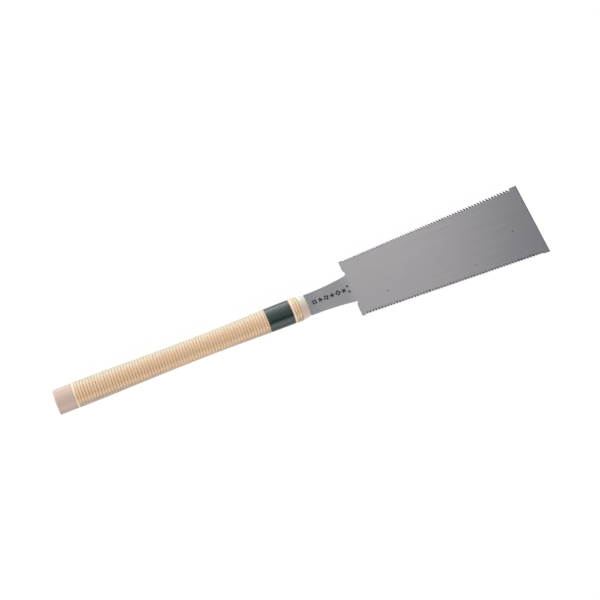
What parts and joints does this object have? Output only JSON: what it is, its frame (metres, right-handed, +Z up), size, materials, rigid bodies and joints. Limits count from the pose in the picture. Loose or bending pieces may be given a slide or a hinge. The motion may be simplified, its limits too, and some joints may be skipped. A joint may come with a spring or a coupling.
{
  "type": "double-edged pull saw",
  "caption": "Hand saw with a thin flat steel blade toothed along both edges, a slim flared neck and a long straight oval wooden handle wrapped in split cane with a dark band.",
  "frame": {"origin": "below the middle of the saw's overall length and width, at its lowest point as it lies on its side", "axes": "+X along the saw from the handle's butt to the blade's toe, +Y towards the rip teeth, +Z up, square to the blade's flat sides"},
  "size_m": [0.6048, 0.0942, 0.0237],
  "materials": {
    "blade_steel": "fine lengthwise grind, satin",
    "handle_wood": "bare, smooth-sanded pale softwood",
    "split_cane": "natural split rattan with its smooth skin outside",
    "dark_band": "glossy, very dark green"
  },
  "bodies": {
    "handle": {"handle_core_upper": "handle_wood", "handle_core_lower": "handle_wood", "rattan_grip_wrap": "split_cane", "rattan_mouth_wrap": "split_cane", "grip_band": "dark_band"},
    "blade": {"saw_blade": "blade_steel"}
  },
  "joints": [
    {"name": "blade_draw", "type": "slide", "parent": "handle", "child": "blade", "axis": [1, 0, 0], "range_m": [0, 0.12]}
  ]
}
